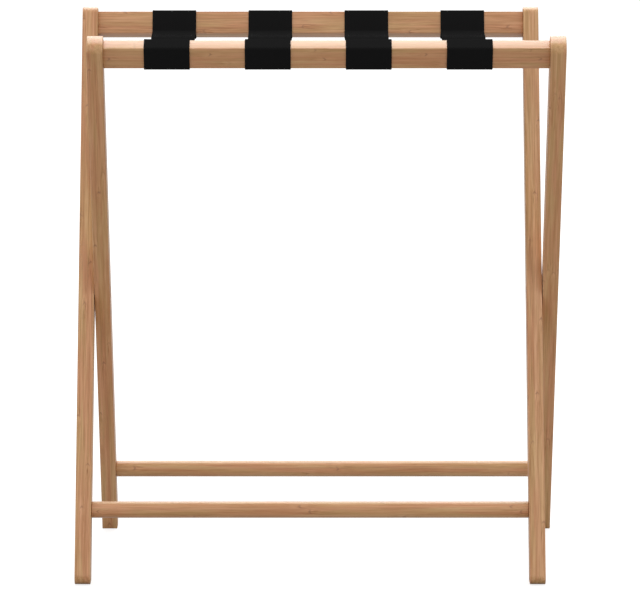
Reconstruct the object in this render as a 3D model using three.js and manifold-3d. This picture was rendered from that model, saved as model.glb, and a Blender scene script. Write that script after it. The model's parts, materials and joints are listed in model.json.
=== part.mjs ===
// Folding luggage rack: two identical bamboo frames crossed on a pivot at each side,
// with four webbing straps sewn in loops round their top rails.
// Millimetres, +Z up, X along the rails, front towards -Y.
// The origin is on the floor, under the middle of the rack.
import * as THREE from "three";
import { mergeVertices } from "three/addons/utils/BufferGeometryUtils.js";
import Module from "manifold-3d";

// Frames, as they stand with the straps taut
const FRAME_WIDTH = 522; // over the outer faces of one frame's two legs
const FRAME_GAP = 0.6; // between the two legs that cross at a pivot
const LEAN_DEG = 26; // of each leg from the vertical
const PIVOT_HEIGHT = 302.1; // of the pivot axis above the floor

// Legs
const LEG_WIDTH = 30; // seen from the side
const LEG_THICKNESS = 17.5; // along X
const LEG_TOP_RADIUS = 10; // of both corners of the top end, up to half the leg's width
const TOE_RADIUS = 9; // of the foot's acute corner, up to half the leg's width
const LEG_EDGE_EASE = 0.8; // rounding of the leg's long edges

// Square top rails, each held by two dowel pins at either end
const RAIL_HEIGHT = 26; // along the leg
const RAIL_THICKNESS = 17; // across the leg
const RAIL_DROP = 5.6; // from the leg's top end down to the rail
const RAIL_EDGE_RADIUS = 0.8;
const PIN_DIAMETER = 8;
const PIN_LENGTH = 24;
const PIN_DEPTH_IN_LEG = 10;
const PIN_SPACING = 12; // between the two pins of a joint, along the leg
const PIN_CHAMFER = 1;

// Round stretchers, with a turned tenon at either end
const STRETCHER_HEIGHT = 75.7; // of its axis above the floor
const STRETCHER_DIAMETER = 18.4;
const TENON_DIAMETER = 12;
const TENON_LENGTH = 10;
const TENON_CHAMFER = 1;

// Pivot hardware: a sleeve nut from outside, a bolt from inside, a washer between the legs
const HEAD_DIAMETER = 14;
const HEAD_THICKNESS = 2.4;
const HEAD_RECESS = 0.4; // below the leg's face
const SLEEVE_DIAMETER = 8;
const SLEEVE_STOP = 5; // from the sleeve's end to the underside of the bolt's head
const BOLT_DIAMETER = 5;
const BOLT_ENGAGEMENT = 12; // of the bolt in the sleeve
const BOLT_END_ROOM = 2; // between the bolt's end and the bottom of the sleeve's bore
const HEX_ACROSS_FLATS = 4;
const HEX_DEPTH = 1.6;
const WASHER_DIAMETER = 18;
const WASHER_RECESS = 0.6; // into each leg

// Straps
const STRAP_COUNT = 4;
const STRAP_END_MARGIN = 53.5; // from a leg's inner face to the nearest strap
const STRAP_WIDTH = 50;
const WEBBING_THICKNESS = 1.2;
const STRAP_TAIL = 46; // the loop's end that is sewn on top of the span
const TAIL_BEND = 8; // radius where the loop turns into its tail
const SPAN_BEND = 4; // radius where the loop turns into the span

// Clearances
const FIT_GAP = 0.2; // round pins, tenons and rail ends in the wood
const RUNNING_GAP = 0.3; // round the sleeve, bolt and heads
const SEAT_GAP = 0.15; // under heads and beside washers
const WRAP_GAP = 0.3; // between webbing and rail
const SEAM_GAP = 0.1; // between a strap's tail and its span

// Cutting tools reach this far past the face that they open
const CUT_MARGIN = 1;

// Facets
const CURVE_STEPS = 3;
const EASE_STEPS = 2;
const BEND_STEPS = 5; // in each bend of a strap
const TURNED_STEPS = 24;
const MERGE_DISTANCE = 1e-4; // vertices closer than this are one vertex

const LEAN = THREE.MathUtils.degToRad(LEAN_DEG);
const FRAME_OFFSET = LEG_THICKNESS + FRAME_GAP;
const LEG_HALF = LEG_WIDTH / 2;
const TOP_CORNER = Math.min(LEG_TOP_RADIUS, LEG_HALF);
const TOE_CORNER = Math.min(TOE_RADIUS, LEG_HALF);

// Where a leaned leg's line across meets a level rise above the floor, along the leg from the pivot.
const legAtLevel = (across, rise) => (rise - PIVOT_HEIGHT - across * Math.sin(LEAN)) / Math.cos(LEAN);

// The tops stand plumb over the toes, so the leg reaches as far out above the pivot as below it.
const TOE_ACROSS = LEG_HALF - TOE_CORNER;
const TOE_ALONG = legAtLevel(TOE_ACROSS, TOE_CORNER);
const TOE_REACH = TOE_ACROSS * Math.cos(LEAN) - TOE_ALONG * Math.sin(LEAN) + TOE_CORNER;
const TOP_ACROSS = LEG_HALF - TOP_CORNER;
const LEG_TOP_REACH = TOP_CORNER + (TOE_REACH - TOP_CORNER - TOP_ACROSS * Math.cos(LEAN)) / Math.sin(LEAN);
const RAIL_CENTRE = LEG_TOP_REACH - RAIL_DROP - RAIL_HEIGHT / 2;
const STRETCHER_CENTRE = (STRETCHER_HEIGHT - PIVOT_HEIGHT) / Math.cos(LEAN);
const INNER_FACE = FRAME_WIDTH / 2 - LEG_THICKNESS;
const RAIL_LENGTH = 2 * (INNER_FACE - FIT_GAP);
const PIN_OFFSETS = [-PIN_SPACING / 2, PIN_SPACING / 2];
const STRAP_ROOM = 2 * (INNER_FACE - STRAP_END_MARGIN) - STRAP_WIDTH;
const STRAP_PITCH = STRAP_ROOM / Math.max(1, STRAP_COUNT - 1);

// Side-view outlines have their x along Y and their y along Z, and are extruded along X.
const SIDE_VIEW = new THREE.Matrix4().makeBasis(
  new THREE.Vector3(0, 1, 0),
  new THREE.Vector3(0, 0, 1),
  new THREE.Vector3(1, 0, 0),
);

const BAMBOO = { color: 0xba8f68, roughness: 0.55, metalness: 0 };
const BEECH = { color: 0xd9b98c, roughness: 0.7, metalness: 0 };
const WEBBING = { color: 0x1a1a1a, roughness: 0.9, metalness: 0 };
const STEEL = { color: 0xb9bbbd, roughness: 0.35, metalness: 1 };
const NYLON = { color: 0xe6e2d8, roughness: 0.5, metalness: 0 };

const wasm = await Module();
wasm.setup();

// A closed geometry as a solid for joining and cutting.
function solidOf(geometry) {
  const bare = geometry.clone();
  bare.deleteAttribute("normal");
  bare.deleteAttribute("uv");
  const merged = mergeVertices(bare, MERGE_DISTANCE);
  return new wasm.Manifold(
    new wasm.Mesh({
      numProp: 3,
      vertProperties: merged.attributes.position.array,
      triVerts: new Uint32Array(merged.index.array),
    }),
  );
}

function geometryOf(solid) {
  const { vertProperties, triVerts } = solid.getMesh();
  return new THREE.BufferGeometry()
    .setAttribute("position", new THREE.BufferAttribute(vertProperties, 3))
    .setIndex(new THREE.BufferAttribute(triVerts, 1));
}

// A geometry with each of the tools taken out of it.
function cut(geometry, tools) {
  return geometryOf(tools.map(solidOf).reduce((rest, tool) => rest.subtract(tool), solidOf(geometry)));
}

// A side-view outline as a bar between two X positions, with its end edges rounded by ease.
function barAlongX(outline, fromX, toX, ease = 0) {
  const geometry = new THREE.ExtrudeGeometry(outline, {
    depth: toX - fromX - 2 * ease,
    bevelEnabled: ease > 0,
    bevelThickness: ease,
    bevelSize: ease,
    bevelOffset: -ease,
    bevelSegments: EASE_STEPS,
    curveSegments: CURVE_STEPS,
  });
  return geometry.applyMatrix4(SIDE_VIEW).translate(fromX + ease, 0, 0);
}

// A profile of [radius, x] pairs turned round the X axis. It starts and ends on the axis,
// or closes on itself, and runs from low x to high x along its outside.
function turnedOnX(profile) {
  const points = profile.map(([radius, x]) => new THREE.Vector2(radius, x));
  return new THREE.LatheGeometry(points, TURNED_STEPS).rotateZ(-Math.PI / 2);
}

// A plain round hole or plug along X.
function roundAlongX(diameter, fromX, toX) {
  const radius = diameter / 2;
  return turnedOnX([[0, fromX], [radius, fromX], [radius, toX], [0, toX]]);
}

function roundedRectangle(width, height, radius) {
  const right = width / 2 - radius;
  const top = height / 2 - radius;
  const outline = new THREE.Shape();
  outline.absarc(right, -top, radius, -Math.PI / 2, 0);
  outline.absarc(right, top, radius, 0, Math.PI / 2);
  outline.absarc(-right, top, radius, Math.PI / 2, Math.PI);
  outline.absarc(-right, -top, radius, Math.PI, 1.5 * Math.PI);
  return outline;
}

function named(name, geometry, finish) {
  const mesh = new THREE.Mesh(geometry, new THREE.MeshStandardMaterial(finish));
  mesh.name = name;
  return mesh;
}

// Leg in side view, with the pivot at the origin and the leg upright. Leaned over, its foot
// is cut level with the floor: the toe is rounded and the heel keeps its corner.
function legOutline() {
  const topAlong = LEG_TOP_REACH - TOP_CORNER;
  const outline = new THREE.Shape();
  outline.absarc(TOE_ACROSS, TOE_ALONG, TOE_CORNER, -Math.PI / 2 - LEAN, 0);
  outline.absarc(TOP_ACROSS, topAlong, TOP_CORNER, 0, Math.PI / 2);
  outline.absarc(-TOP_ACROSS, topAlong, TOP_CORNER, Math.PI / 2, Math.PI);
  outline.lineTo(-LEG_HALF, legAtLevel(-LEG_HALF, 0));
  return outline;
}

// Leg between fromX and fromX + LEG_THICKNESS. Its pin and tenon holes open towards
// railSide (+1 or -1 along X). At the pivot a head sinks into the +X face of every leg
// and the washer into the -X face.
function legGeometry(fromX, railSide) {
  const toX = fromX + LEG_THICKNESS;
  const railFace = railSide > 0 ? toX : fromX;
  const holeMouth = railFace + railSide * CUT_MARGIN;
  const blindHole = (diameter, depth) =>
    roundAlongX(
      diameter + 2 * FIT_GAP,
      Math.min(holeMouth, railFace - railSide * (depth + FIT_GAP)),
      Math.max(holeMouth, railFace - railSide * (depth + FIT_GAP)),
    );
  const headDepth = HEAD_RECESS + HEAD_THICKNESS + SEAT_GAP;
  const tools = [
    roundAlongX(SLEEVE_DIAMETER + 2 * RUNNING_GAP, fromX - CUT_MARGIN, toX + CUT_MARGIN),
    roundAlongX(HEAD_DIAMETER + 2 * RUNNING_GAP, toX - headDepth, toX + CUT_MARGIN),
    roundAlongX(WASHER_DIAMETER + 2 * RUNNING_GAP, fromX - CUT_MARGIN, fromX + WASHER_RECESS),
    blindHole(TENON_DIAMETER, TENON_LENGTH).translate(0, 0, STRETCHER_CENTRE),
    ...PIN_OFFSETS.map((offset) =>
      blindHole(PIN_DIAMETER, PIN_DEPTH_IN_LEG).translate(0, 0, RAIL_CENTRE + offset),
    ),
  ];
  return cut(barAlongX(legOutline(), fromX, toX, LEG_EDGE_EASE), tools);
}

// Top rail with two blind pin holes in either end.
function railGeometry() {
  const outline = roundedRectangle(RAIL_THICKNESS, RAIL_HEIGHT, RAIL_EDGE_RADIUS);
  const end = RAIL_LENGTH / 2;
  const bottom = INNER_FACE - (PIN_LENGTH - PIN_DEPTH_IN_LEG) - FIT_GAP;
  const tools = PIN_OFFSETS.flatMap((offset) => [
    roundAlongX(PIN_DIAMETER + 2 * FIT_GAP, bottom, end + CUT_MARGIN).translate(0, 0, offset),
    roundAlongX(PIN_DIAMETER + 2 * FIT_GAP, -end - CUT_MARGIN, -bottom).translate(0, 0, offset),
  ]);
  return cut(barAlongX(outline, -end, end), tools).translate(0, 0, RAIL_CENTRE);
}

// Dowel pin with chamfered ends, centred on its leg's inner face by its depth in the leg.
function pinGeometry(side) {
  const radius = PIN_DIAMETER / 2;
  const outer = INNER_FACE + PIN_DEPTH_IN_LEG;
  const inner = outer - PIN_LENGTH;
  const pin = turnedOnX([
    [0, inner],
    [radius - PIN_CHAMFER, inner],
    [radius, inner + PIN_CHAMFER],
    [radius, outer - PIN_CHAMFER],
    [radius - PIN_CHAMFER, outer],
    [0, outer],
  ]);
  return side > 0 ? pin : pin.rotateZ(Math.PI);
}

// Round stretcher with its two tenons.
function stretcherGeometry() {
  const radius = STRETCHER_DIAMETER / 2;
  const tenon = TENON_DIAMETER / 2;
  const shoulder = INNER_FACE - FIT_GAP;
  const tip = INNER_FACE + TENON_LENGTH;
  const half = [
    [radius, shoulder],
    [tenon, shoulder],
    [tenon, tip - TENON_CHAMFER],
    [tenon - TENON_CHAMFER, tip],
    [0, tip],
  ];
  const otherHalf = half.map(([r, x]) => [r, -x]).reverse();
  return turnedOnX([...otherHalf, ...half]).translate(0, 0, STRETCHER_CENTRE);
}

// Hexagonal key socket that opens at faceX and goes HEX_DEPTH deep towards inward (+1 or -1).
function hexSocket(faceX, inward) {
  const acrossCorners = HEX_ACROSS_FLATS / Math.cos(Math.PI / 6);
  const length = HEX_DEPTH + CUT_MARGIN;
  return new THREE.CylinderGeometry(acrossCorners / 2, acrossCorners / 2, length, 6)
    .rotateZ(-Math.PI / 2)
    .translate(faceX + inward * (HEX_DEPTH - length / 2), 0, 0);
}

// Sleeve nut, bolt and washer of the pivot that starts in this frame's +X leg and
// goes on into the other frame's leg beside it.
function pivotGeometries() {
  const head = HEAD_DIAMETER / 2;
  const sleeve = SLEEVE_DIAMETER / 2;
  const bolt = BOLT_DIAMETER / 2;
  const bore = bolt + RUNNING_GAP;
  const outerFace = FRAME_WIDTH / 2;
  const innerFace = outerFace - 2 * LEG_THICKNESS - FRAME_GAP;
  const sleeveHead = outerFace - HEAD_RECESS;
  const boltHead = innerFace + HEAD_RECESS;
  const sleeveEnd = boltHead + HEAD_THICKNESS + SLEEVE_STOP;
  const boltEnd = sleeveEnd + BOLT_ENGAGEMENT;
  const boreEnd = boltEnd + BOLT_END_ROOM;
  const washerTo = INNER_FACE + WASHER_RECESS - SEAT_GAP;
  const washerFrom = INNER_FACE - FRAME_GAP - WASHER_RECESS + SEAT_GAP;
  return {
    sleeve: cut(
      turnedOnX([
        [0, boreEnd],
        [bore, boreEnd],
        [bore, sleeveEnd],
        [sleeve, sleeveEnd],
        [sleeve, sleeveHead - HEAD_THICKNESS],
        [head, sleeveHead - HEAD_THICKNESS],
        [head, sleeveHead],
        [0, sleeveHead],
      ]),
      [hexSocket(sleeveHead, -1)],
    ),
    bolt: cut(
      turnedOnX([
        [0, boltHead],
        [head, boltHead],
        [head, boltHead + HEAD_THICKNESS],
        [bolt, boltHead + HEAD_THICKNESS],
        [bolt, boltEnd],
        [0, boltEnd],
      ]),
      [hexSocket(boltHead, 1)],
    ),
    washer: cut(roundAlongX(WASHER_DIAMETER, washerFrom, washerTo), [
      roundAlongX(SLEEVE_DIAMETER + 2 * RUNNING_GAP, washerFrom - CUT_MARGIN, washerTo + CUT_MARGIN),
    ]),
  };
}

// One frame, leaned with its rail to the front. plus and minus name its legs on +X and -X.
function frameGroup(frame, plus, minus) {
  const group = new THREE.Group();
  group.add(
    named(`${frame}_${plus}_leg`, legGeometry(INNER_FACE, -1), BAMBOO),
    named(`${frame}_${minus}_leg`, legGeometry(-FRAME_WIDTH / 2, 1), BAMBOO),
    named(`${frame}_top_rail`, railGeometry(), BAMBOO),
    named(`${frame}_stretcher`, stretcherGeometry(), BAMBOO),
  );
  for (const [side, leg] of [[1, plus], [-1, minus]]) {
    PIN_OFFSETS.forEach((offset, i) => {
      const level = i === 0 ? "lower" : "upper";
      const pin = pinGeometry(side).translate(0, 0, RAIL_CENTRE + offset);
      group.add(named(`${frame}_${leg}_${level}_pin`, pin, BEECH));
    });
  }
  const pivot = pivotGeometries();
  group.add(
    named(`${plus}_pivot_sleeve_nut`, pivot.sleeve, STEEL),
    named(`${plus}_pivot_bolt`, pivot.bolt, STEEL),
    named(`${plus}_pivot_washer`, pivot.washer, NYLON),
  );
  group.position.set(FRAME_OFFSET / 2, 0, PIVOT_HEIGHT);
  group.rotation.x = LEAN;
  return group;
}

// A line through corners of { at, radius }, with each corner between its ends rounded off.
function filletedPath(corners) {
  const points = [corners[0].at];
  for (let i = 1; i < corners.length - 1; i += 1) {
    const { at, radius } = corners[i];
    const incoming = at.clone().sub(corners[i - 1].at).normalize();
    const outgoing = corners[i + 1].at.clone().sub(at).normalize();
    const turn = Math.atan2(incoming.cross(outgoing), incoming.dot(outgoing));
    const start = at.clone().addScaledVector(incoming, -radius * Math.tan(Math.abs(turn) / 2));
    const towardsCentre = new THREE.Vector2(-incoming.y, incoming.x).multiplyScalar(Math.sign(turn));
    const centre = start.clone().addScaledVector(towardsCentre, radius);
    for (let step = 0; step <= BEND_STEPS; step += 1) {
      points.push(start.clone().rotateAround(centre, (turn * step) / BEND_STEPS));
    }
  }
  points.push(corners.at(-1).at);
  return points;
}

// The closed outline of a band of even thickness whose middle follows the points.
function bandOutline(points, thickness) {
  const offsetBy = (distance) =>
    points.map((point, i) => {
      const before = points[Math.max(0, i - 1)];
      const after = points[Math.min(points.length - 1, i + 1)];
      const along = after.clone().sub(before).normalize();
      return new THREE.Vector2(-along.y, along.x).multiplyScalar(distance).add(point);
    });
  return new THREE.Shape([...offsetBy(-thickness / 2), ...offsetBy(thickness / 2).reverse()]);
}

// Middle line of a strap in side view, from the span's clear middle to the end of its tail at
// the rear rail: under the rail, up its outer face, over its top, down its inner face and back
// over the span.
function strapHalf() {
  const centre = new THREE.Vector2(0, RAIL_CENTRE).rotateAround(new THREE.Vector2(), -LEAN);
  centre.y += PIVOT_HEIGHT;
  const onRail = (across, along) =>
    new THREE.Vector2(across, along).rotateAround(new THREE.Vector2(), -LEAN).add(centre);
  const stand = WRAP_GAP + WEBBING_THICKNESS / 2;
  const across = RAIL_THICKNESS / 2 + stand;
  const along = RAIL_HEIGHT / 2 + stand;
  const corner = RAIL_EDGE_RADIUS + stand;
  const innerEdge = onRail(corner - across, corner - along);
  const spanLevel = innerEdge.y - corner;
  const tailLevel = spanLevel + WEBBING_THICKNESS + SEAM_GAP;
  const underRail = onRail(0, -along);
  const inFace = onRail(-across, 0);
  const spanEnd = underRail.x + (underRail.y - spanLevel) / Math.tan(LEAN);
  const tailStart = inFace.x - (inFace.y - tailLevel) * Math.tan(LEAN);
  const tailEnd = tailStart - STRAP_TAIL;
  return filletedPath([
    { at: new THREE.Vector2(tailEnd - SEAM_GAP, spanLevel) },
    { at: new THREE.Vector2(spanEnd, spanLevel), radius: SPAN_BEND },
    { at: onRail(across, -along), radius: corner },
    { at: onRail(across, along), radius: corner },
    { at: onRail(-across, along), radius: corner },
    { at: new THREE.Vector2(tailStart, tailLevel), radius: TAIL_BEND },
    { at: new THREE.Vector2(tailEnd, tailLevel) },
  ]);
}

// Strap: one unbroken band, with a loop round each rail and a level span between them.
function strapGeometry() {
  const rearHalf = strapHalf();
  const frontHalf = rearHalf.map(({ x, y }) => new THREE.Vector2(-x, y)).reverse();
  const outline = bandOutline([...frontHalf, ...rearHalf], WEBBING_THICKNESS);
  return barAlongX(outline, -STRAP_WIDTH / 2, STRAP_WIDTH / 2);
}

const rack = new THREE.Group();
rack.add(frameGroup("front_frame", "right", "left"));

// The rear frame is the same frame turned half round.
const turned = new THREE.Group();
turned.rotation.z = Math.PI;
turned.add(frameGroup("rear_frame", "left", "right"));
rack.add(turned);

for (let i = 0; i < STRAP_COUNT; i += 1) {
  const strap = named(`strap_${i + 1}`, strapGeometry(), WEBBING);
  strap.position.x = (i - (STRAP_COUNT - 1) / 2) * STRAP_PITCH;
  rack.add(strap);
}

export default rack;
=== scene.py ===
"""A folding luggage rack's finished surfaces, with the light and the camera. Metres, +Z up."""
import json
import math

import bmesh
import bpy
from mathutils import Matrix, Vector


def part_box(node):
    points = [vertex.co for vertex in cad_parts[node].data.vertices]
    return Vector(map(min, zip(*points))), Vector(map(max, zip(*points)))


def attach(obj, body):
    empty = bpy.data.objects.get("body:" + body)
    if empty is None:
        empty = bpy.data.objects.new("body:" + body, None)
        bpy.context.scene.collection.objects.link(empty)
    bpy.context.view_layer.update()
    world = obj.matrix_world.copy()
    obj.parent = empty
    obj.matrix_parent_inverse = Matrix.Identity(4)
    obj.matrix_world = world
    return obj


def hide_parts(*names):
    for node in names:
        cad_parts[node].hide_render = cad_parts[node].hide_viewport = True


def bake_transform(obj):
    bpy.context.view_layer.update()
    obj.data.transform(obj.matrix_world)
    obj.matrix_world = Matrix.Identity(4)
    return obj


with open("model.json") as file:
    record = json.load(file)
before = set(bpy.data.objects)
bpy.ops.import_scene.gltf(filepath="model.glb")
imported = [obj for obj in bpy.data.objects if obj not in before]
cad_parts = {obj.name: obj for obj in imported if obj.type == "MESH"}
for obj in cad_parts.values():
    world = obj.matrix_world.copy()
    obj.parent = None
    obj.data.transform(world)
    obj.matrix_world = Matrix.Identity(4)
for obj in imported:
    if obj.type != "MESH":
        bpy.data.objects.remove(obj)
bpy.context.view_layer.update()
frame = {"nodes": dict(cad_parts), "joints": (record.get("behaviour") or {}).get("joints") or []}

MM = 0.001

# Frames: each is drawn upright round its pivot and leaned into place
LEAN = math.radians(26)
PIVOT = Vector(frame["joints"][0]["pos_m"])
FRAMES = {
    "front_frame": {"turn": 0.0, "plus": "right", "minus": "left"},
    "rear_frame": {"turn": math.pi, "plus": "left", "minus": "right"},
}

# Legs
LEG_TOP_RADIUS = 10 * MM
LEG_CROWN = math.radians(10)
TOE_RADIUS = 9 * MM
HEEL_RADIUS = 1.0 * MM
HEEL_LEAST_RADIUS = 0.02 * MM
LEG_EDGE_EASE = 0.8 * MM

# Rails, dowel pins and stretchers
RAIL_EDGE_RADIUS = 0.8 * MM
RAIL_END_EASE = 0.1 * MM
PIN_HOLE_DIAMETER = 8.4 * MM
PIN_DEPTH_IN_LEG = 10.2 * MM
PIN_DEPTH_IN_RAIL = 14.2 * MM
PIN_SPACING = 12 * MM
STRETCHER_DIAMETER = 18.4 * MM
TENON_DIAMETER = 12 * MM
TENON_CHAMFER = 1 * MM
TENON_HOLE_DIAMETER = 12.4 * MM
TENON_DEPTH = 10.2 * MM
SHOULDER_EASE = 0.6 * MM
SHOULDER_GAP = 0.2 * MM

# Pivot hardware
HEAD_DIAMETER = 14 * MM
HEAD_THICKNESS = 2.4 * MM
HEAD_CHAMFER = 0.5 * MM
SLEEVE_DIAMETER = 8 * MM
BOLT_DIAMETER = 5 * MM
BOLT_BORE_DIAMETER = 5.6 * MM
BOLT_END_ROOM = 2 * MM
HEX_ACROSS_FLATS = 4 * MM
HEX_DEPTH = 1.6 * MM
HEAD_HOLE_DIAMETER = 14.6 * MM
HEAD_HOLE_DEPTH = 2.95 * MM
SLEEVE_HOLE_DIAMETER = 8.6 * MM
WASHER_HOLE_DIAMETER = 18.6 * MM
WASHER_HOLE_DEPTH = 0.6 * MM

# Straps
STRAP_COUNT = 4
WEBBING_THICKNESS = 1.2 * MM
WRAP_GAP = 0.3 * MM
SEAM_GAP = 0.1 * MM
STRAP_TAIL = 46 * MM
TAIL_BEND = 3 * MM
TAIL_LIFT = 1.5 * MM
TAIL_SLOPE = 14 * MM
TAIL_SETTLE = 30 * MM
TAIL_TAPER = 4 * MM
TAIL_END_SHARE = 0.25
SPAN_BEND = 4 * MM
SELVEDGE_WIDTH = 1.6 * MM
SELVEDGE_RISE = 0.08 * MM
SPAN_STEP = 5 * MM

# Sewing: a box with a cross on each tail
BOX_MARGIN = 4.5 * MM
STITCH_PITCH = 3 * MM
STITCH_SHARE = 0.74
THREAD_RADIUS = 0.32 * MM

# One stitch: share of its length, and its swell and rise as shares of the thread's radius
STITCH_SHAPE = (
    (0.0, 0.45, -0.9),
    (0.16, 0.9, 0.0),
    (0.5, 1.0, 0.25),
    (0.84, 0.9, 0.0),
    (1.0, 0.45, -0.9),
)

# Facets
ARC_STEPS = 14
EASE_STEPS = 3
SELVEDGE_STEPS = 6
BEND_STEPS = 9
ROUND_STEPS = 64
THREAD_SIDES = 6
CUT_MARGIN = 1 * MM
SMOOTH_ANGLE = math.radians(32)

# Bamboo: linear colours, and how much faster green and blue darken than red
BAMBOO_STRAW = (0.565, 0.318, 0.130)
BAMBOO_RED = (0.580, 0.269, 0.120)
BAMBOO_PALE = (0.573, 0.307, 0.138)
BAMBOO_FLECK = (0.300, 0.125, 0.055)
BAMBOO_DEPTH = (1.0, 1.4, 2.2)

# Bamboo: contrast and middle tone of each bar, and what sets its grain apart from the others'. The
# contrast and tone hold painted light and shade: the front frame, shaded from the front, has less
# contrast, the lit rear frame has more, and the rear rail is painted darker against the light it
# catches.
FIGURE_AND_PAINTED_LIGHT = {
    "front_frame": {"leg": (0.75, 1.0), "top_rail": (0.65, 1.0), "stretcher": (0.80, 1.0)},
    "rear_frame": {"leg": (1.05, 0.99), "top_rail": (1.05, 0.945), "stretcher": (0.80, 1.0)},
}
BAR_SHIFT = (0.113, 0.071, 0.29)
FRAME_SHIFT = (0.37, 0.0, 0.37)

# Bamboo: its strips and nodes
STRIP_WIDTH = 5.8 * MM
STRIP_DEPTH = 13 * MM
STRIP_WANDER = 3 * MM
NODE_PITCH = 0.235
NODE_SCATTER = 7.0
MARK_BOW = 6 * MM
FIBRE_RELIEF = 0.10 * MM
FLECK_RELIEF = 1.2
MARK_RELIEF = 0.8

# Bamboo: waves per metre of its noises, across, through and along the strips
WANDER_WAVES = (16.0, 16.0, 4.0)
PATCH_WAVES = (120.0, 120.0, 11.0)
STREAK_WAVES = (360.0, 360.0, 9.0)
FIBRE_WAVES = (1100.0, 1100.0, 26.0)
FLECK_WAVES = (1500.0, 1500.0, 45.0)
DASH_WAVES = (800.0, 800.0, 90.0)
MARK_WAVES = (240.0, 240.0, 90.0)

# Bamboo: ramps, from one value to another, and what these become
PATCH_HUE = (0.34, 0.68, 0.0, 1.0)
STRIP_HUE = (0.0, 1.0, -0.07, 0.07)
STRIP_PALE = (0.35, 1.0, 0.0, 0.4)
STRIP_SHADE = (0.0, 1.0, -0.02, 0.02)
STREAK_SHADE = (0.30, 0.70, -0.15, 0.15)
FIBRE_SHADE = (0.32, 0.68, -0.11, 0.11)
JOINT_SHADE = (0.45, 0.495, 0.0, 0.05)
DASH_SHADE = (0.52, 0.66, 0.0, 0.34)
DASH_REACH = (4 * MM, 24 * MM, 1.0, 0.0)
FLECK_SHADE = (0.60, 0.72, 0.0, 0.30)
NODE_SWEEP = (4 * MM, 60 * MM, 60 * MM, 0.0)
NODE_PALE = (3 * MM, 16 * MM, 0.08, 0.0)
MARK_RAGGED = (0.0, 1.0, -2 * MM, 2 * MM)
MARK_WIDTH = (0.2 * MM, 2.0 * MM, 1.0, 0.0)
MARK_SIDES = (0.10, 0.46, 1.0, 0.15)
MARK_SHADE = (0.2, 0.7, 0.25, 0.65)
LACQUER_ROUGHNESS = (0.2, 0.8, 0.36, 0.46)

# Other materials: dark and light linear colours, and waves per metre
BEECH = ((0.62, 0.43, 0.23), (0.74, 0.55, 0.33))
BEECH_WAVES = (30.0, 900.0, 900.0)
# Webbing: dark and light colours spread by the weave's height, which is painted shade in its hollows
# plus random yarn tone
WEBBING = ((0.0072, 0.0072, 0.0073), (0.0154, 0.0153, 0.0154))
WEFT_PITCH = 1.1 * MM
WARP_PITCH = 1.7 * MM
YARN_WAVES = (900.0, 2200.0, 1.0)
YARN_RELIEF = 0.5
WEAVE_HOLLOW_SHADE = (0.2, 1.3, 0.0, 1.0)
THREAD = ((0.009, 0.009, 0.009), (0.018, 0.018, 0.019))
TWIST_WAVES = (2600.0, 2600.0, 2600.0)
STEEL = ((0.52, 0.53, 0.54), (0.66, 0.66, 0.65))
STEEL_WAVES = (180.0, 180.0, 180.0)
BRUSH_WAVES = (300.0, 2400.0, 2400.0)
BRUSH_ROUGHNESS = (0.3, 0.7, 0.26, 0.40)
NYLON = ((0.72, 0.70, 0.64), (0.80, 0.78, 0.73))
NYLON_WAVES = (400.0, 400.0, 400.0)
NYLON_ROUGHNESS = (0.2, 0.8, 0.42, 0.55)

# Camera: in front of the rack's middle and looking down on it
CAMERA_AT = Vector((0.0019, -5.3498, 1.2300))
CAMERA_PITCH = math.radians(9.929)
CAMERA_LENS = 270.5
SENSOR_WIDTH = 36.0
CLIP_END = 100.0

# Light
SKY_STRENGTH = 0.97
FLOOR_GREY = 0.36
FLOOR_GLOW = 0.74
FLOOR_GLEAM = 0.1
FLOOR_HALF = 30.0
SOFTBOX_AT = Vector((0.0, 2.46, 3.76))
SOFTBOX_SIZE = (2.73, 4.0)
SOFTBOX_POWER = 122.0


class Shader:
    """A material's node tree, with short ways to add to it."""

    def __init__(self, name):
        self.material = bpy.data.materials.new(name)
        self.material.use_nodes = True
        self.tree = self.material.node_tree
        self.surface = self.tree.nodes["Principled BSDF"]

    def add(self, kind, inputs=None, **settings):
        node = self.tree.nodes.new(kind)
        for key, value in settings.items():
            setattr(node, key, value)
        for key, value in (inputs or {}).items():
            self.set(node.inputs[key], value)
        return node

    def set(self, socket, value):
        if isinstance(value, bpy.types.NodeSocket):
            self.tree.links.new(value, socket)
        else:
            socket.default_value = value

    def math(self, operation, *values):
        node = self.add("ShaderNodeMath", operation=operation)
        for socket, value in zip(node.inputs, values):
            self.set(socket, value)
        return node.outputs[0]

    def ramp(self, value, low, high, to_low=0.0, to_high=1.0):
        """value from low to high, eased to run from to_low to to_high."""
        inputs = {"Value": value, 1: low, 2: high, 3: to_low, 4: to_high}
        return self.add("ShaderNodeMapRange", inputs, interpolation_type="SMOOTHSTEP").outputs[0]

    def mix(self, factor, a, b, blend="MIX"):
        node = self.add("ShaderNodeMix", data_type="RGBA", blend_type=blend)
        for socket, value in ((node.inputs[0], factor), (node.inputs[6], a), (node.inputs[7], b)):
            self.set(socket, (*value, 1.0) if isinstance(value, tuple) else value)
        return node.outputs[2]

    def place(self):
        """The place on the object, in metres."""
        return self.add("ShaderNodeTexCoord").outputs["Object"]

    def noise(self, vector, waves, detail=3.0, roughness=0.5):
        """Noise from 0 to 1, with so many waves per metre along each axis."""
        inputs = {0: vector, 1: waves}
        scaled = self.add("ShaderNodeVectorMath", inputs, operation="MULTIPLY").outputs[0]
        inputs = {"Vector": scaled, "Scale": 1.0, "Detail": detail, "Roughness": roughness}
        return self.add("ShaderNodeTexNoise", inputs).outputs[0]

    def bump(self, height, distance, strength=1.0):
        inputs = {"Height": height, "Distance": distance, "Strength": strength}
        normal = self.add("ShaderNodeBump", inputs).outputs[0]
        self.set(self.surface.inputs["Normal"], normal)

    def finish(self, **values):
        """Sets the surface's own sockets, named with _ for a space."""
        for key, value in values.items():
            socket = self.surface.inputs[key.replace("_", " ")]
            self.set(socket, (*value, 1.0) if isinstance(value, tuple) else value)
        return self.material


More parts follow.
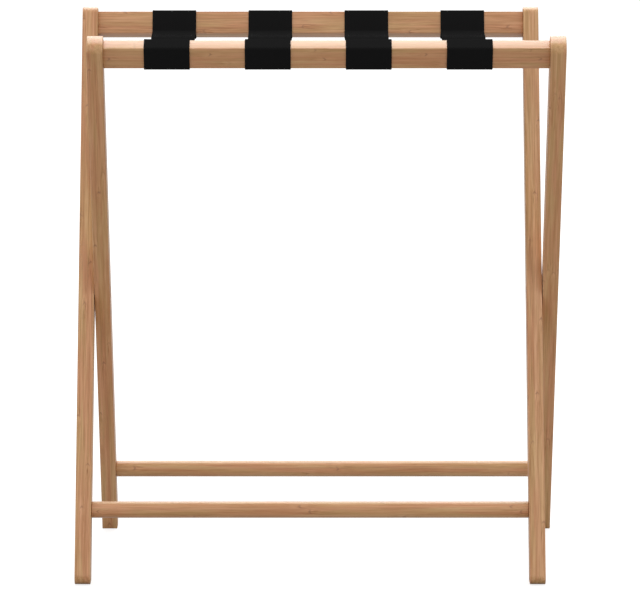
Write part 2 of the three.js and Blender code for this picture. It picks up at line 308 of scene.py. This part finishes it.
def grain_axes(shader, along_x, space, shift):
    """The place in the wood's own axes: across its strips, through them and along them."""
    axes = space @ Matrix.Rotation(math.pi / 2, 4, "Y") if along_x else space
    axes = axes @ Matrix.Translation(shift)
    inputs = {"Vector": shader.place(), "Location": axes.to_translation(), "Rotation": axes.to_euler()}
    return shader.add("ShaderNodeMapping", inputs, vector_type="TEXTURE").outputs[0]


def bamboo_strips(shader, grain):
    """A strip's three chances, how far a place is to the side of its middle line and off its next
    node, and the flow of its fibres, which sweep round that node."""
    across, depth, along = shader.add("ShaderNodeSeparateXYZ", {0: grain}).outputs
    wander = shader.math("SUBTRACT", shader.noise(grain, WANDER_WAVES), 0.5)
    wander = shader.math("MULTIPLY", wander, STRIP_WANDER)
    across = shader.math("ADD", across, wander)
    strip = shader.math("DIVIDE", across, STRIP_WIDTH)
    layer = shader.math("DIVIDE", shader.math("ADD", depth, wander), STRIP_DEPTH)
    cell = {0: shader.math("FLOOR", strip), 1: shader.math("FLOOR", layer)}
    cell = shader.add("ShaderNodeCombineXYZ", cell).outputs[0]
    chance = shader.add("ShaderNodeTexWhiteNoise", {"Vector": cell}, noise_dimensions="3D")
    chances = shader.add("ShaderNodeSeparateColor", {0: chance.outputs["Color"]}).outputs
    side = shader.math("ABSOLUTE", shader.math("SUBTRACT", shader.math("FRACT", strip), 0.5))

    scatter = shader.math("MULTIPLY", chances[0], NODE_SCATTER)
    run = shader.math("ADD", shader.math("DIVIDE", along, NODE_PITCH), scatter)
    off = shader.math("SUBTRACT", shader.math("FRACT", run), 0.5)
    off = shader.math("MULTIPLY", off, NODE_PITCH)
    away = shader.math("ABSOLUTE", off)
    sweep = shader.math("MULTIPLY", side, shader.ramp(away, *NODE_SWEEP))
    flow = {0: across, 1: depth, 2: shader.math("ADD", along, sweep)}
    flow = shader.add("ShaderNodeCombineXYZ", flow).outputs[0]
    return {"chances": chances, "side": side, "off": off, "away": away, "flow": flow}


def bamboo_hue(shader, strip):
    """Straw, or redder in patches, and paler in some strips."""
    patches = shader.noise(strip["flow"], PATCH_WAVES, detail=2.0)
    hue = shader.math("ADD", patches, shader.ramp(strip["chances"][1], *STRIP_HUE))
    colour = shader.mix(shader.ramp(hue, *PATCH_HUE), BAMBOO_STRAW, BAMBOO_RED)
    return shader.mix(shader.ramp(strip["chances"][2], *STRIP_PALE), colour, BAMBOO_PALE)


def bamboo_shade(shader, strip, streaks, fibres):
    """Light and dark as sums round 0: the grain, the strips' joints, and dashes in a paler zone
    round each node."""
    dashes = shader.ramp(shader.noise(strip["flow"], DASH_WAVES, detail=2.0), *DASH_SHADE)
    dashes = shader.math("MULTIPLY", dashes, shader.ramp(strip["away"], *DASH_REACH))
    value = shader.ramp(streaks, *STREAK_SHADE)
    value = shader.math("ADD", value, shader.ramp(fibres, *FIBRE_SHADE))
    value = shader.math("ADD", value, shader.ramp(strip["chances"][2], *STRIP_SHADE))
    value = shader.math("SUBTRACT", value, shader.ramp(strip["side"], *JOINT_SHADE))
    value = shader.math("ADD", value, shader.ramp(strip["away"], *NODE_PALE))
    return shader.math("SUBTRACT", value, dashes)


def node_mark(shader, grain, strip):
    """The node itself: a soft bowed mark, darkest across the middle of its strip."""
    ragged = shader.ramp(shader.noise(grain, MARK_WAVES, detail=2.0), *MARK_RAGGED)
    bowed = shader.math("ADD", strip["off"], shader.math("MULTIPLY", strip["side"], MARK_BOW))
    bowed = shader.math("ADD", bowed, ragged)
    mark = shader.ramp(shader.math("ABSOLUTE", bowed), *MARK_WIDTH)
    mark = shader.math("MULTIPLY", mark, shader.ramp(strip["side"], *MARK_SIDES))
    return shader.math("MULTIPLY", mark, shader.ramp(strip["chances"][1], *MARK_SHADE))


def bamboo(name, along_x, space, shift, contrast, tone):
    """Laminated bamboo: strips of slightly different tints, with streaks, fibres, flecks and nodes.
    space is the frame's own axes. along_x says that the grain runs along their X and not their Z.
    contrast scales its light and dark, and tone is their middle; both carry painted light and shade,
    set for each frame by how it is lit."""
    shader = Shader(name)
    grain = grain_axes(shader, along_x, space, shift)
    strip = bamboo_strips(shader, grain)
    streaks = shader.noise(strip["flow"], STREAK_WAVES, detail=4.0, roughness=0.6)
    fibres = shader.noise(strip["flow"], FIBRE_WAVES, detail=3.0, roughness=0.6)
    flecks = shader.ramp(shader.noise(strip["flow"], FLECK_WAVES, detail=2.0), *FLECK_SHADE)
    mark = node_mark(shader, grain, strip)

    value = bamboo_shade(shader, strip, streaks, fibres)
    value = shader.math("MULTIPLY_ADD", value, contrast, tone)
    tint = {i: shader.math("POWER", value, power) for i, power in enumerate(BAMBOO_DEPTH)}
    tint = shader.add("ShaderNodeCombineColor", tint).outputs[0]
    colour = shader.mix(1.0, bamboo_hue(shader, strip), tint, "MULTIPLY")
    colour = shader.mix(flecks, colour, BAMBOO_FLECK)
    colour = shader.mix(mark, colour, BAMBOO_FLECK)

    relief = shader.math("SUBTRACT", fibres, shader.math("MULTIPLY", flecks, FLECK_RELIEF))
    relief = shader.math("SUBTRACT", relief, shader.math("MULTIPLY", mark, MARK_RELIEF))
    shader.bump(relief, FIBRE_RELIEF, strength=0.5)
    return shader.finish(
        Base_Color=colour,
        Roughness=shader.ramp(streaks, *LACQUER_ROUGHNESS),
        Coat_Weight=0.3,
        Coat_Roughness=0.18,
    )


def beech(name):
    """Plain light dowel wood, with the grain along X."""
    shader = Shader(name)
    fibres = shader.noise(shader.place(), BEECH_WAVES, detail=4.0, roughness=0.6)
    shader.bump(fibres, distance=0.1 * MM, strength=0.4)
    return shader.finish(Base_Color=shader.mix(fibres, *BEECH), Roughness=0.6)


def webbing(name):
    """Black webbing in plain weave, along and across the strap by its UV map in metres. Darker where
    the weave is low: painted shade in its hollows, with random yarn tone.
    """
    shader = Shader(name)
    place = shader.add("ShaderNodeUVMap", uv_map="weave").outputs[0]
    axes = shader.add("ShaderNodeSeparateXYZ", {0: place}).outputs
    weft = shader.math("SINE", shader.math("MULTIPLY", axes[0], math.pi / WEFT_PITCH))
    warp = shader.math("SINE", shader.math("MULTIPLY", axes[1], math.pi / WARP_PITCH))
    weave = shader.ramp(shader.math("MULTIPLY", weft, warp), -1.0, 1.0)
    yarn = shader.noise(place, YARN_WAVES, detail=3.0, roughness=0.65)
    height = shader.math("ADD", weave, shader.math("MULTIPLY", yarn, YARN_RELIEF))
    # painted shade: the weave's hollows darker; the yarn noise is random tone
    colour = shader.mix(shader.ramp(height, *WEAVE_HOLLOW_SHADE), *WEBBING)
    shader.bump(height, distance=0.22 * MM, strength=0.7)
    return shader.finish(Base_Color=colour, Roughness=0.9, Specular_IOR_Level=0.0)


def thread(name):
    """Black polyester sewing thread with its twist."""
    shader = Shader(name)
    twist = shader.noise(shader.place(), TWIST_WAVES, detail=2.0)
    shader.bump(twist, distance=0.1 * MM, strength=0.5)
    colour = shader.mix(twist, *THREAD)
    return shader.finish(Base_Color=colour, Roughness=0.7, Specular_IOR_Level=0.04)


def steel(name):
    """Zinc-plated steel with a fine turned finish."""
    shader = Shader(name)
    brush = shader.noise(shader.place(), BRUSH_WAVES, detail=3.0, roughness=0.6)
    cloud = shader.noise(shader.place(), STEEL_WAVES, detail=2.0)
    shader.bump(brush, distance=0.03 * MM, strength=0.4)
    roughness = shader.ramp(brush, *BRUSH_ROUGHNESS)
    return shader.finish(Base_Color=shader.mix(cloud, *STEEL), Metallic=1.0, Roughness=roughness)


def nylon(name):
    """Matt off-white nylon."""
    shader = Shader(name)
    cloud = shader.noise(shader.place(), NYLON_WAVES, detail=3.0)
    roughness = shader.ramp(cloud, *NYLON_ROUGHNESS)
    return shader.finish(Base_Color=shader.mix(cloud, *NYLON), Roughness=roughness)


def arc(centre, radius, start, end, steps):
    """Points of an arc as (across, along) pairs, both ends included."""
    angles = [start + (end - start) * i / steps for i in range(steps + 1)]
    return [(centre[0] + radius * math.cos(a), centre[1] + radius * math.sin(a)) for a in angles]


def mesh_object(name, vertices, faces):
    """A new object of that mesh, smooth but for its sharp edges, with its faces turned outwards."""
    mesh = bpy.data.meshes.new(name)
    mesh.from_pydata(vertices, [], faces)
    shape = bmesh.new()
    shape.from_mesh(mesh)
    bmesh.ops.recalc_face_normals(shape, faces=shape.faces)
    shape.to_mesh(mesh)
    shape.free()
    smooth(mesh)
    made = bpy.data.objects.new(name, mesh)
    bpy.context.scene.collection.objects.link(made)
    return made


def smooth(mesh):
    """Smooth shading, but for the edges that turn by more than SMOOTH_ANGLE."""
    mesh.shade_smooth()
    mesh.set_sharp_from_angle(angle=SMOOTH_ANGLE)


def loft(name, rings):
    """A closed object through rings of equally many points, with a flat face on each end."""
    count = len(rings[0])
    vertices = [point for ring in rings for point in ring]
    faces = [tuple(range(count)), tuple(range(len(vertices) - count, len(vertices)))]
    for r in range(len(rings) - 1):
        low, high = r * count, (r + 1) * count
        for i in range(count):
            j = (i + 1) % count
            faces.append((low + i, low + j, high + j, high + i))
    return mesh_object(name, vertices, faces)


def eased_bar(name, outline, from_x, to_x, ease):
    """A bar along X whose outline(inset) is drawn in by ease round both of its ends."""
    quarter = [math.pi / 2 * i / EASE_STEPS for i in range(EASE_STEPS + 1)]
    start = [(from_x + ease * (1 - math.cos(a)), ease * (1 - math.sin(a))) for a in quarter]
    end = [(to_x - (x - from_x), inset) for x, inset in reversed(start)]
    rings = [[(x, y, z) for y, z in outline(inset)] for x, inset in start + end]
    return loft(name, rings)


def turned_bar(name, profile, steps=ROUND_STEPS):
    """A bar turned round X from (radius, x) pairs."""
    rings = []
    for radius, x in profile:
        circle = arc((0, 0), radius, 0, 2 * math.pi, steps)[:-1]
        rings.append([(x, y, z) for y, z in circle])
    return loft(name, rings)


def round_tool(diameter, from_x, to_x, z=0.0):
    """A plug for cutting a round hole along X."""
    ends = sorted((from_x, to_x))
    tool = turned_bar("tool", [(diameter / 2, x) for x in ends])
    tool.data.transform(Matrix.Translation((0, 0, z)))
    return tool


def hex_tool(face_x, inward):
    """A plug for cutting a key socket that goes inward (+1 or -1) from face_x."""
    radius = HEX_ACROSS_FLATS / 2 / math.cos(math.pi / 6)
    ends = sorted((face_x - inward * CUT_MARGIN, face_x + inward * HEX_DEPTH))
    return turned_bar("tool", [(radius, x) for x in ends], 6)


def cut(piece, tools):
    """Takes the tools out of the piece, and removes them."""
    for tool in tools:
        modifier = piece.modifiers.new("cut", "BOOLEAN")
        modifier.operation = "DIFFERENCE"
        modifier.solver = "EXACT"
        modifier.object = tool
    bpy.context.view_layer.update()
    shape = piece.evaluated_get(bpy.context.evaluated_depsgraph_get())
    mesh = bpy.data.meshes.new_from_object(shape)
    mesh.name = piece.name
    piece.modifiers.clear()
    piece.data = mesh
    for tool in tools:
        bpy.data.objects.remove(tool)
    smooth(mesh)


def box_in(space, node):
    """A node's lowest and highest corners in a frame's own axes."""
    points = [space.inverted() @ v.co for v in frame["nodes"][node].data.vertices]
    return Vector(map(min, zip(*points))), Vector(map(max, zip(*points)))


def frame_space(name):
    """A frame's own axes as it leans: Z up its legs, X along its rails, the pivot at the origin."""
    half_turn = Matrix.Rotation(FRAMES[name]["turn"], 4, "Z")
    lift = Matrix.Translation((0, 0, PIVOT.z))
    plain = half_turn @ lift @ Matrix.Rotation(LEAN, 4, "X")
    low, high = box_in(plain, f"{name}_top_rail")
    return plain @ Matrix.Translation(((low.x + high.x) / 2, 0, 0))


def dress(piece, space, body, node, material):
    """Puts a piece drawn in a frame's axes in the place of a node."""
    piece.data.transform(space)
    piece.data.materials.clear()
    piece.data.materials.append(material)
    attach(piece, body)
    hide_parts(node)


def leg_outline(high):
    """The leg's side view as a function of how far it is drawn in: crowned top, level foot."""
    half = high.y
    toe = half - TOE_RADIUS
    top = half - LEG_TOP_RADIUS
    heel = HEEL_RADIUS - half
    shoulder = high.z - LEG_TOP_RADIUS
    beyond = top / math.sin(LEG_CROWN)
    crown_radius = LEG_TOP_RADIUS + beyond
    crown_at = (0, shoulder - beyond * math.cos(LEG_CROWN))
    from_crown, to_crown = math.pi / 2 - LEG_CROWN, math.pi / 2 + LEG_CROWN
    level = -math.pi / 2 - LEAN

    def along(across, rise):
        return (rise - PIVOT.z - across * math.sin(LEAN)) / math.cos(LEAN)

    def outline(inset):
        points = arc((toe, along(toe, TOE_RADIUS)), TOE_RADIUS - inset, level, 0, ARC_STEPS)
        points += arc((top, shoulder), LEG_TOP_RADIUS - inset, 0, from_crown, ARC_STEPS)
        points += arc(crown_at, crown_radius - inset, from_crown, to_crown, ARC_STEPS)[1:-1]
        points += arc((-top, shoulder), LEG_TOP_RADIUS - inset, to_crown, math.pi, ARC_STEPS)
        heel_at = (heel, along(heel, HEEL_RADIUS))
        heel_radius = max(HEEL_RADIUS - inset, HEEL_LEAST_RADIUS)
        points += arc(heel_at, heel_radius, math.pi, level + 2 * math.pi, ARC_STEPS)
        return points

    return outline


def make_leg(space, body, node, rail_side, rail_z, stretcher_z, material):
    """A leg with its holes. rail_side is the side, +1 or -1, on which the rail meets it."""
    low, high = box_in(space, node)
    leg = eased_bar(f"{node}_bamboo", leg_outline(high), low.x, high.x, LEG_EDGE_EASE)
    face = high.x if rail_side > 0 else low.x
    mouth = face + rail_side * CUT_MARGIN
    tools = [
        round_tool(SLEEVE_HOLE_DIAMETER, low.x - CUT_MARGIN, high.x + CUT_MARGIN),
        round_tool(HEAD_HOLE_DIAMETER, high.x - HEAD_HOLE_DEPTH, high.x + CUT_MARGIN),
        round_tool(WASHER_HOLE_DIAMETER, low.x - CUT_MARGIN, low.x + WASHER_HOLE_DEPTH),
        round_tool(TENON_HOLE_DIAMETER, mouth, face - rail_side * TENON_DEPTH, stretcher_z),
    ]
    for side in (-1, 1):
        pin_z = rail_z + side * PIN_SPACING / 2
        tools.append(round_tool(PIN_HOLE_DIAMETER, mouth, face - rail_side * PIN_DEPTH_IN_LEG, pin_z))
    cut(leg, tools)
    dress(leg, space, body, node, material)


def rail_outline(low, high):
    """A rounded rectangle as a function of how far it is drawn in."""
    right = high.y - RAIL_EDGE_RADIUS
    top = (high.z - low.z) / 2 - RAIL_EDGE_RADIUS
    middle = (high.z + low.z) / 2

    def outline(inset):
        corners = ((right, -top), (right, top), (-right, top), (-right, -top))
        points = []
        for i, (y, z) in enumerate(corners):
            start, end = (i - 1) * math.pi / 2, i * math.pi / 2
            points += arc((y, middle + z), RAIL_EDGE_RADIUS - inset, start, end, EASE_STEPS)
        return points

    return outline


def make_rail(space, body, node, material):
    """A top rail with the holes for its dowel pins."""
    low, high = box_in(space, node)
    rail = eased_bar(f"{node}_bamboo", rail_outline(low, high), low.x, high.x, RAIL_END_EASE)
    middle = (high.z + low.z) / 2
    tools = []
    for end, inward in ((low.x, 1), (high.x, -1)):
        for side in (-1, 1):
            pin_z = middle + side * PIN_SPACING / 2
            span = (end - inward * CUT_MARGIN, end + inward * PIN_DEPTH_IN_RAIL)
            tools.append(round_tool(PIN_HOLE_DIAMETER, *span, pin_z))
    cut(rail, tools)
    dress(rail, space, body, node, material)


def make_stretcher(space, body, node, inner_face, material):
    """A round stretcher whose shoulders end just short of the legs' inner faces."""
    low, high = box_in(space, node)
    radius, tenon = STRETCHER_DIAMETER / 2, TENON_DIAMETER / 2
    shoulder = inner_face - SHOULDER_GAP
    half = [
        (radius, 0.0),
        (radius, shoulder - SHOULDER_EASE),
        (radius - SHOULDER_EASE, shoulder),
        (tenon, shoulder),
        (tenon, high.x - TENON_CHAMFER),
        (tenon - TENON_CHAMFER, high.x),
    ]
    profile = [(r, -x) for r, x in reversed(half[1:])] + half
    stretcher = turned_bar(f"{node}_bamboo", profile)
    stretcher.data.transform(Matrix.Translation((0, 0, (low.z + high.z) / 2)))
    dress(stretcher, space, body, node, material)


def make_pivot(space, body, side, material):
    """The sleeve nut and the bolt that meet in it, with chamfered heads and key sockets."""
    sleeve_node, bolt_node = f"{side}_pivot_sleeve_nut", f"{side}_pivot_bolt"
    sleeve_low, sleeve_high = box_in(space, sleeve_node)
    bolt_low, bolt_high = box_in(space, bolt_node)
    head, chamfer = HEAD_DIAMETER / 2, HEAD_CHAMFER
    bore, barrel, shank = BOLT_BORE_DIAMETER / 2, SLEEVE_DIAMETER / 2, BOLT_DIAMETER / 2
    sleeve = turned_bar(f"{sleeve_node}_steel", [
        (bore, bolt_high.x + BOLT_END_ROOM),
        (bore, sleeve_low.x),
        (barrel, sleeve_low.x),
        (barrel, sleeve_high.x - HEAD_THICKNESS),
        (head, sleeve_high.x - HEAD_THICKNESS),
        (head, sleeve_high.x - chamfer),
        (head - chamfer, sleeve_high.x),
    ])
    cut(sleeve, [hex_tool(sleeve_high.x, -1)])
    dress(sleeve, space, body, sleeve_node, material)
    bolt = turned_bar(f"{bolt_node}_steel", [
        (head - chamfer, bolt_low.x),
        (head, bolt_low.x + chamfer),
        (head, bolt_low.x + HEAD_THICKNESS),
        (shank, bolt_low.x + HEAD_THICKNESS),
        (shank, bolt_high.x - chamfer),
        (shank - chamfer, bolt_high.x),
    ])
    cut(bolt, [hex_tool(bolt_low.x, 1)])
    dress(bolt, space, body, bolt_node, material)


def filleted(corners):
    """Points along (y, z, radius) corners, each corner between the ends rounded off."""
    points = [Vector(corners[0][:2])]
    for before, (y, z, radius), after in zip(corners, corners[1:], corners[2:]):
        at = Vector((y, z))
        incoming = (at - Vector(before[:2])).normalized()
        outgoing = (Vector(after[:2]) - at).normalized()
        turn = math.atan2(incoming.cross(outgoing), incoming.dot(outgoing))
        start = at - incoming * radius * math.tan(abs(turn) / 2)
        centre = start + Vector((-incoming.y, incoming.x)) * math.copysign(radius, turn)
        for step in range(BEND_STEPS + 1):
            swing = Matrix.Rotation(turn * step / BEND_STEPS, 2)
            points.append(centre + swing @ (start - centre))
    points.append(Vector(corners[-1][:2]))
    return points


def strap_route():
    """The strap's middle line as (y, z) points, its levels, and where its span and flat tail end."""
    space = frame_space("rear_frame")
    low, high = box_in(space, "rear_frame_top_rail")
    stand = WRAP_GAP + WEBBING_THICKNESS / 2
    side = high.y + stand
    height = (high.z - low.z) / 2 + stand
    corner = RAIL_EDGE_RADIUS + stand
    middle = (high.z + low.z) / 2

    def on_rail(outwards, up):
        place = space @ Vector((0, -outwards, middle + up))
        return Vector((place.y, place.z))

    span_z = on_rail(corner - side, corner - height).y - corner
    tail_z = span_z + WEBBING_THICKNESS + SEAM_GAP
    leave_z = tail_z + TAIL_LIFT
    under, inside = on_rail(0, -height), on_rail(-side, 0)
    span_y = under.x + (under.y - span_z) / math.tan(LEAN)
    leave_y = inside.x - (inside.y - leave_z) * math.tan(LEAN)
    flat_y = leave_y - TAIL_SLOPE
    end_y = leave_y - STRAP_TAIL
    half = filleted([
        (0.0, span_z, 0.0),
        (span_y, span_z, SPAN_BEND),
        (*on_rail(side, -height), corner),
        (*on_rail(side, height), corner),
        (*on_rail(-side, height), corner),
        (leave_y, leave_z, TAIL_BEND),
        (flat_y, tail_z, TAIL_SETTLE),
        (end_y, tail_z, 0.0),
    ])
    half.insert(-1, half[-1] + Vector((TAIL_TAPER, 0)))
    mirrored = [Vector((-p.x, p.y)) for p in reversed(half[1:])]
    settle = TAIL_SETTLE * math.tan(math.atan2(TAIL_LIFT, TAIL_SLOPE) / 2)
    return {
        "line": divided(mirrored + half),
        "span_z": span_z,
        "tail_z": tail_z,
        "span_end": span_y,
        "tail": (end_y, flat_y - settle),
    }


def divided(points):
    """The line again, with no step longer than SPAN_STEP."""
    line = [points[0]]
    for a, b in zip(points, points[1:]):
        steps = max(1, math.ceil((b - a).length / SPAN_STEP))
        line += [a.lerp(b, i / steps) for i in range(1, steps + 1)]
    return line


def webbing_section(width):
    """The band's cross-section as (across, off) pairs: thin middle, fuller and rounded selvedges."""
    half, thick = width / 2, WEBBING_THICKNESS / 2
    plain = thick - SELVEDGE_RISE
    edge = half - thick
    inner = half - SELVEDGE_WIDTH
    right = [(inner - SELVEDGE_WIDTH, -plain), (inner, -thick)]
    right += arc((edge, 0), thick, -math.pi / 2, math.pi / 2, SELVEDGE_STEPS)
    right += [(inner, thick), (inner - SELVEDGE_WIDTH, plain)]
    left = [(-across, -off) for across, off in right]
    return right + left


def make_strap(index, route, material):
    """One strap along the route's points, and its length."""
    node = f"strap_{index}"
    low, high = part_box(node)
    middle = (low.x + high.x) / 2
    section = webbing_section(high.x - low.x)
    lengths = [0.0]
    for a, b in zip(route, route[1:]):
        lengths.append(lengths[-1] + (b - a).length)
    rings = []
    for i, at in enumerate(route):
        before, after = route[max(0, i - 1)], route[min(len(route) - 1, i + 1)]
        along = (after - before).normalized()
        off = Vector((-along.y, along.x))
        to_end = min(lengths[i], lengths[-1] - lengths[i])
        share = min(1.0, TAIL_END_SHARE + (1 - TAIL_END_SHARE) * to_end / TAIL_TAPER)
        at = at + off * (1 - share) * WEBBING_THICKNESS / 2
        ring = [(across, at + off * share * thick) for across, thick in section]
        rings.append([(middle + across, place.x, place.y) for across, place in ring])
    strap = loft(f"{node}_webbing", rings)
    lay_weave(strap.data, len(section), [across for across, _ in section], lengths)
    strap.data.materials.append(material)
    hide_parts(node)
    return strap, lengths[-1]


def lay_weave(mesh, count, across, lengths):
    """A UV map in metres: along the strap, and across it."""
    layer = mesh.uv_layers.new(name="weave")
    for loop in mesh.loops:
        ring, place = divmod(loop.vertex_index, count)
        layer.data[loop.index].uv = (lengths[ring], across[place])


def stitch_lines(width, length):
    """A sewn box with a cross, as pairs of (x, y) points from the middle of a flat tail."""
    x, y = width / 2 - BOX_MARGIN, length / 2 - BOX_MARGIN
    corners = [(-x, -y), (x, -y), (x, y), (-x, y)]
    sides = list(zip(corners, corners[1:] + corners[:1]))
    return sides + [(corners[0], corners[2]), (corners[1], corners[3])]


def stitch(start, end, vertices, faces):
    """Adds one stitch: a short thread whose two ends dip into the webbing."""
    along = (end - start).normalized()
    sideways = along.cross(Vector((0, 0, 1)))
    first = len(vertices)
    for share, swell, rise in STITCH_SHAPE:
        centre = start.lerp(end, share)
        for side in range(THREAD_SIDES):
            angle = 2 * math.pi * side / THREAD_SIDES
            spread = sideways * math.cos(angle) + Vector((0, 0, 1)) * math.sin(angle)
            lift = Vector((0, 0, rise * THREAD_RADIUS))
            vertices.append(centre + lift + spread * THREAD_RADIUS * swell)
    for ring in range(len(STITCH_SHAPE) - 1):
        low = first + ring * THREAD_SIDES
        for i in range(THREAD_SIDES):
            j = (i + 1) % THREAD_SIDES
            faces.append((low + i, low + j, low + THREAD_SIDES + j, low + THREAD_SIDES + i))
    last = len(vertices) - THREAD_SIDES
    faces.append(tuple(range(first, first + THREAD_SIDES)))
    faces.append(tuple(range(last, last + THREAD_SIDES)))


def make_stitching(index, route, material):
    """The thread that shows on a strap's two tails and below them."""
    node = f"strap_{index}"
    low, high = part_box(node)
    inner, outer = route["tail"]
    half = WEBBING_THICKNESS / 2
    levels = (route["tail_z"] + half, route["span_z"] - half)
    vertices, faces = [], []
    for end in (-1, 1):
        middle = Vector(((low.x + high.x) / 2, end * (inner + outer) / 2, 0))
        for a, b in stitch_lines(high.x - low.x, outer - inner):
            run = Vector((*b, 0)) - Vector((*a, 0))
            count = round(run.length / STITCH_PITCH)
            for k in range(count):
                start = middle + Vector((*a, 0)) + run * (k + 0.5 - STITCH_SHARE / 2) / count
                stop = middle + Vector((*a, 0)) + run * (k + 0.5 + STITCH_SHARE / 2) / count
                for level in levels:
                    lift = Vector((0, 0, level))
                    stitch(start + lift, stop + lift, vertices, faces)
    made = mesh_object(f"{node}_stitching", [tuple(v) for v in vertices], faces)
    made.data.materials.append(material)
    return made


def make_straps():
    """The straps with their sewing, carried between the two frames."""
    cloth, cotton = webbing("black_webbing"), thread("black_thread")
    route = strap_route()
    for index in range(1, STRAP_COUNT + 1):
        strap, length = make_strap(index, route["line"], cloth)
        sewing = make_stitching(index, route, cotton)
        for piece in (strap, sewing):
            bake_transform(piece)


def make_frame(name, order):
    """A frame's legs, rail and stretcher, and the pivot that it carries."""
    space = frame_space(name)
    words = FRAMES[name]
    rail_low, rail_high = box_in(space, f"{name}_top_rail")
    rod_low, rod_high = box_in(space, f"{name}_stretcher")
    rail_z, rod_z = (rail_low.z + rail_high.z) / 2, (rod_low.z + rod_high.z) / 2
    inner_face = box_in(space, f"{name}_{words['plus']}_leg")[0].x

    def wood(part, kind, number, along_x):
        shift = [bar * number + whole * order for bar, whole in zip(BAR_SHIFT, FRAME_SHIFT)]
        # contrast and tone: painted light and shade for this frame and bar
        return bamboo(f"bamboo_{name}_{part}", along_x, space, shift, *FIGURE_AND_PAINTED_LIGHT[name][kind])

    for number, (side, rail_side) in enumerate(((words["plus"], -1), (words["minus"], 1)), 1):
        part = f"{side}_leg"
        material = wood(part, "leg", number, False)
        make_leg(space, name, f"{name}_{part}", rail_side, rail_z, rod_z, material)
    make_rail(space, name, f"{name}_top_rail", wood("top_rail", "top_rail", 3, True))
    material = wood("stretcher", "stretcher", 4, True)
    make_stretcher(space, name, f"{name}_stretcher", inner_face, material)
    make_pivot(space, name, words["plus"], steel(f"steel_{words['plus']}_pivot"))


def finish_kept_nodes():
    """Materials for the solids that stay as they are: dowel pins and washers."""
    pin_wood, plastic = beech("beech_dowel"), nylon("nylon_washer")
    for name, node in frame["nodes"].items():
        if node.hide_render:
            continue
        node.data.materials.clear()
        node.data.materials.append(plastic if name.endswith("washer") else pin_wood)


def make_floor():
    """A plain floor that the camera sees as white and that gleams a little in what mirrors it."""
    half = FLOOR_HALF
    corners = [(-half, -half, 0), (half, -half, 0), (half, half, 0), (-half, half, 0)]
    floor = mesh_object("floor", corners, [(0, 1, 2, 3)])
    shader = Shader("pale_floor")
    paths = shader.add("ShaderNodeLightPath").outputs
    mirrored = shader.math("MAXIMUM", paths["Is Glossy Ray"], paths["Is Transmission Ray"])
    gleam = shader.math("MULTIPLY", mirrored, FLOOR_GLEAM)
    seen = shader.math("MAXIMUM", paths["Is Camera Ray"], gleam)
    matt = {"Color": (FLOOR_GREY, FLOOR_GREY, FLOOR_GREY, 1)}
    matt = shader.add("ShaderNodeBsdfDiffuse", matt).outputs[0]
    glow = {"Strength": shader.math("MULTIPLY", seen, FLOOR_GLOW)}
    glow = shader.add("ShaderNodeEmission", glow).outputs[0]
    both = shader.add("ShaderNodeAddShader", {0: matt, 1: glow}).outputs[0]
    shader.set(shader.tree.nodes["Material Output"].inputs["Surface"], both)
    shader.tree.nodes.remove(shader.surface)
    floor.data.materials.append(shader.material)


def make_sky():
    world = bpy.data.worlds.new("studio")
    world.use_nodes = True
    sky = world.node_tree.nodes["Background"]
    sky.inputs["Color"].default_value = (1, 1, 1, 1)
    sky.inputs["Strength"].default_value = SKY_STRENGTH
    bpy.context.scene.world = world


def make_softbox():
    lamp = bpy.data.lights.new("softbox", "AREA")
    lamp.shape = "RECTANGLE"
    lamp.size, lamp.size_y = SOFTBOX_SIZE
    lamp.energy = SOFTBOX_POWER
    holder = bpy.data.objects.new("softbox", lamp)
    bpy.context.scene.collection.objects.link(holder)
    holder.location = SOFTBOX_AT
    rails = Vector((0, 0, 2 * PIVOT.z))
    holder.rotation_euler = (rails - SOFTBOX_AT).to_track_quat("-Z", "Y").to_euler()


def make_camera():
    camera = bpy.data.cameras.new("camera")
    camera.lens = CAMERA_LENS
    camera.sensor_width = SENSOR_WIDTH
    camera.clip_end = CLIP_END
    holder = bpy.data.objects.new("camera", camera)
    bpy.context.scene.collection.objects.link(holder)
    holder.location = CAMERA_AT
    holder.rotation_euler = (math.pi / 2 - CAMERA_PITCH, 0, 0)
    bpy.context.scene.camera = holder


make_camera()
make_sky()
make_softbox()
make_floor()
for order, name in enumerate(FRAMES):
    make_frame(name, order)
make_straps()
finish_kept_nodes()
bpy.context.scene.view_settings.view_transform = "Standard"

bpy.context.view_layer.update()
